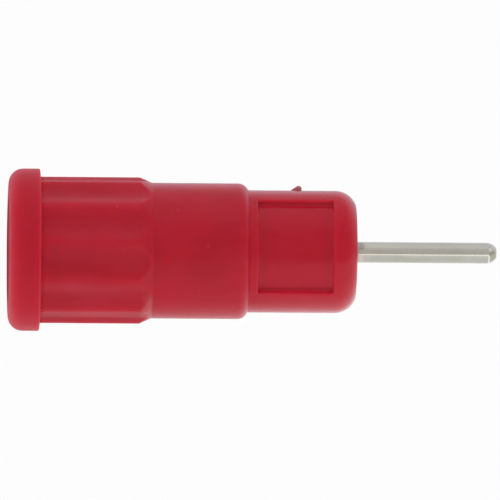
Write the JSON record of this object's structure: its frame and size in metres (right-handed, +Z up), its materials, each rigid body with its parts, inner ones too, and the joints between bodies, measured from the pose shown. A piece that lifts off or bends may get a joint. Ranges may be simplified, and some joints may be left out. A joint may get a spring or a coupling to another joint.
{
  "type": "banana socket",
  "caption": "Red insulated 4 mm safety banana socket with a fluted press-in barrel, a recessed contact sleeve and a round rear connection pin.",
  "frame": {"origin": "on the socket's axis, in the plane of the flange's back face, which seats on the panel", "axes": "X runs along the socket from the front face to the connection pin, -X is the side that the plug comes in from, +Z is up"},
  "size_m": [0.0423, 0.014, 0.014],
  "materials": {
    "red_plastic": "moulded, satin to gloss",
    "plated_contact": "nickel plated, turned",
    "plated_pin": "tin plated, drawn"
  },
  "bodies": {
    "root": {"housing": "red_plastic", "contact_sleeve": "plated_contact", "connection_pin": "plated_pin"}
  },
  "joints": []
}
